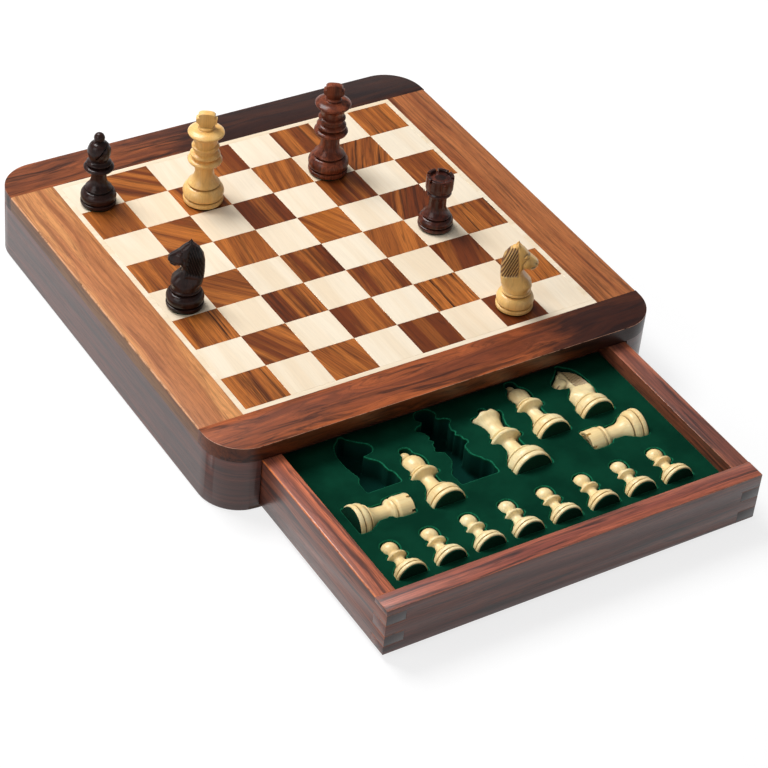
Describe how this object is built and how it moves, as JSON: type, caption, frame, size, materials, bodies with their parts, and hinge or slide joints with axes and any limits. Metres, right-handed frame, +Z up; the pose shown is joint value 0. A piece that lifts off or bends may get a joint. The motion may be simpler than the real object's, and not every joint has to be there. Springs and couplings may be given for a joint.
{
  "type": "chess box with drawers",
  "caption": "Flat square wooden chess box with an inlaid board on top and a velvet-lined drawer for the men at the front and at the back.",
  "frame": {"origin": "centre of the case's underside, on the surface it stands on", "axes": "+Z up through the board, +Y to the back, -Y to the front, where the open drawer comes out, +X to the right seen from the front"},
  "size_m": [0.3, 0.4335, 0.1105],
  "materials": {
    "boxwood": "satin turned boxwood",
    "dark_wood": "satin dark turned wood",
    "maple": "satin maple",
    "orange_rosewood": "satin rosewood, orange brown with dark streaks",
    "rosewood_top": "satin rosewood",
    "rosewood_case": "satin dark rosewood",
    "plywood": "plain plywood",
    "green_velvet": "dark green velvet over a moulded block"
  },
  "bodies": {
    "case": {"back_rail": "rosewood_top", "base_panel": "plywood", "board_core": "plywood", "dark_squares": "orange_rosewood", "drawer_divider": "rosewood_case", "front_rail": "rosewood_top", "left_rail": "rosewood_top", "left_wall": "rosewood_case", "light_squares": "maple", "maple_stringing": "maple", "right_rail": "rosewood_top", "right_wall": "rosewood_case"},
    "front_drawer": {"front_drawer_back": "rosewood_case", "front_drawer_bottom": "plywood", "front_drawer_face": "rosewood_case", "front_drawer_left_side": "rosewood_case", "front_drawer_right_side": "rosewood_case", "front_drawer_tray": "green_velvet", "white_bishop_2": "boxwood", "white_knight_2": "boxwood"},
    "rear_drawer": {"rear_drawer_back": "rosewood_case", "rear_drawer_bottom": "plywood", "rear_drawer_face": "rosewood_case", "rear_drawer_left_side": "rosewood_case", "rear_drawer_right_side": "rosewood_case", "rear_drawer_tray": "green_velvet", "black_rook_2": "dark_wood", "black_knight_2": "dark_wood", "black_bishop_2": "dark_wood", "black_queen": "dark_wood", "black_pawn_1": "dark_wood", "black_pawn_2": "dark_wood", "black_pawn_3": "dark_wood", "black_pawn_4": "dark_wood", "black_pawn_5": "dark_wood", "black_pawn_6": "dark_wood", "black_pawn_7": "dark_wood", "black_pawn_8": "dark_wood"},
    "white_king": {"white_king": "boxwood"},
    "white_knight_1": {"white_knight_1": "boxwood"},
    "black_king": {"black_king": "dark_wood"},
    "black_rook_1": {"black_rook_1": "dark_wood"},
    "black_knight_1": {"black_knight_1": "dark_wood"},
    "black_bishop_1": {"black_bishop_1": "dark_wood"},
    "white_rook_1": {"white_rook_1": "boxwood"},
    "white_bishop_1": {"white_bishop_1": "boxwood"},
    "white_queen": {"white_queen": "boxwood"},
    "white_rook_2": {"white_rook_2": "boxwood"},
    "white_pawn_1": {"white_pawn_1": "boxwood"},
    "white_pawn_2": {"white_pawn_2": "boxwood"},
    "white_pawn_3": {"white_pawn_3": "boxwood"},
    "white_pawn_4": {"white_pawn_4": "boxwood"},
    "white_pawn_5": {"white_pawn_5": "boxwood"},
    "white_pawn_6": {"white_pawn_6": "boxwood"},
    "white_pawn_7": {"white_pawn_7": "boxwood"},
    "white_pawn_8": {"white_pawn_8": "boxwood"}
  },
  "joints": [
    {"name": "front_drawer_slide", "type": "slide", "parent": "case", "child": "front_drawer", "axis": [0, -1, 0], "range_m": [-0.1335, 0.0045]},
    {"name": "rear_drawer_slide", "type": "slide", "parent": "case", "child": "rear_drawer", "axis": [0, 1, 0], "range_m": [0, 0.138]},
    {"name": "white_king_lift", "type": "slide", "parent": "case", "child": "white_king", "axis": [0, 0, 1], "range_m": [0, 0.08]},
    {"name": "white_knight_1_lift", "type": "slide", "parent": "case", "child": "white_knight_1", "axis": [0, 0, 1], "range_m": [0, 0.08]},
    {"name": "black_king_lift", "type": "slide", "parent": "case", "child": "black_king", "axis": [0, 0, 1], "range_m": [0, 0.08]},
    {"name": "black_rook_1_lift", "type": "slide", "parent": "case", "child": "black_rook_1", "axis": [0, 0, 1], "range_m": [0, 0.08]},
    {"name": "black_knight_1_lift", "type": "slide", "parent": "case", "child": "black_knight_1", "axis": [0, 0, 1], "range_m": [0, 0.08]},
    {"name": "black_bishop_1_lift", "type": "slide", "parent": "case", "child": "black_bishop_1", "axis": [0, 0, 1], "range_m": [0, 0.08]},
    {"name": "white_rook_1_lift", "type": "slide", "parent": "front_drawer", "child": "white_rook_1", "axis": [0, 0, 1], "range_m": [0, 0.05]},
    {"name": "white_bishop_1_lift", "type": "slide", "parent": "front_drawer", "child": "white_bishop_1", "axis": [0, 0, 1], "range_m": [0, 0.05]},
    {"name": "white_queen_lift", "type": "slide", "parent": "front_drawer", "child": "white_queen", "axis": [0, 0, 1], "range_m": [0, 0.05]},
    {"name": "white_rook_2_lift", "type": "slide", "parent": "front_drawer", "child": "white_rook_2", "axis": [0, 0, 1], "range_m": [0, 0.05]},
    {"name": "white_pawn_1_lift", "type": "slide", "parent": "front_drawer", "child": "white_pawn_1", "axis": [0, 0, 1], "range_m": [0, 0.05]},
    {"name": "white_pawn_2_lift", "type": "slide", "parent": "front_drawer", "child": "white_pawn_2", "axis": [0, 0, 1], "range_m": [0, 0.05]},
    {"name": "white_pawn_3_lift", "type": "slide", "parent": "front_drawer", "child": "white_pawn_3", "axis": [0, 0, 1], "range_m": [0, 0.05]},
    {"name": "white_pawn_4_lift", "type": "slide", "parent": "front_drawer", "child": "white_pawn_4", "axis": [0, 0, 1], "range_m": [0, 0.05]},
    {"name": "white_pawn_5_lift", "type": "slide", "parent": "front_drawer", "child": "white_pawn_5", "axis": [0, 0, 1], "range_m": [0, 0.05]},
    {"name": "white_pawn_6_lift", "type": "slide", "parent": "front_drawer", "child": "white_pawn_6", "axis": [0, 0, 1], "range_m": [0, 0.05]},
    {"name": "white_pawn_7_lift", "type": "slide", "parent": "front_drawer", "child": "white_pawn_7", "axis": [0, 0, 1], "range_m": [0, 0.05]},
    {"name": "white_pawn_8_lift", "type": "slide", "parent": "front_drawer", "child": "white_pawn_8", "axis": [0, 0, 1], "range_m": [0, 0.05]}
  ]
}
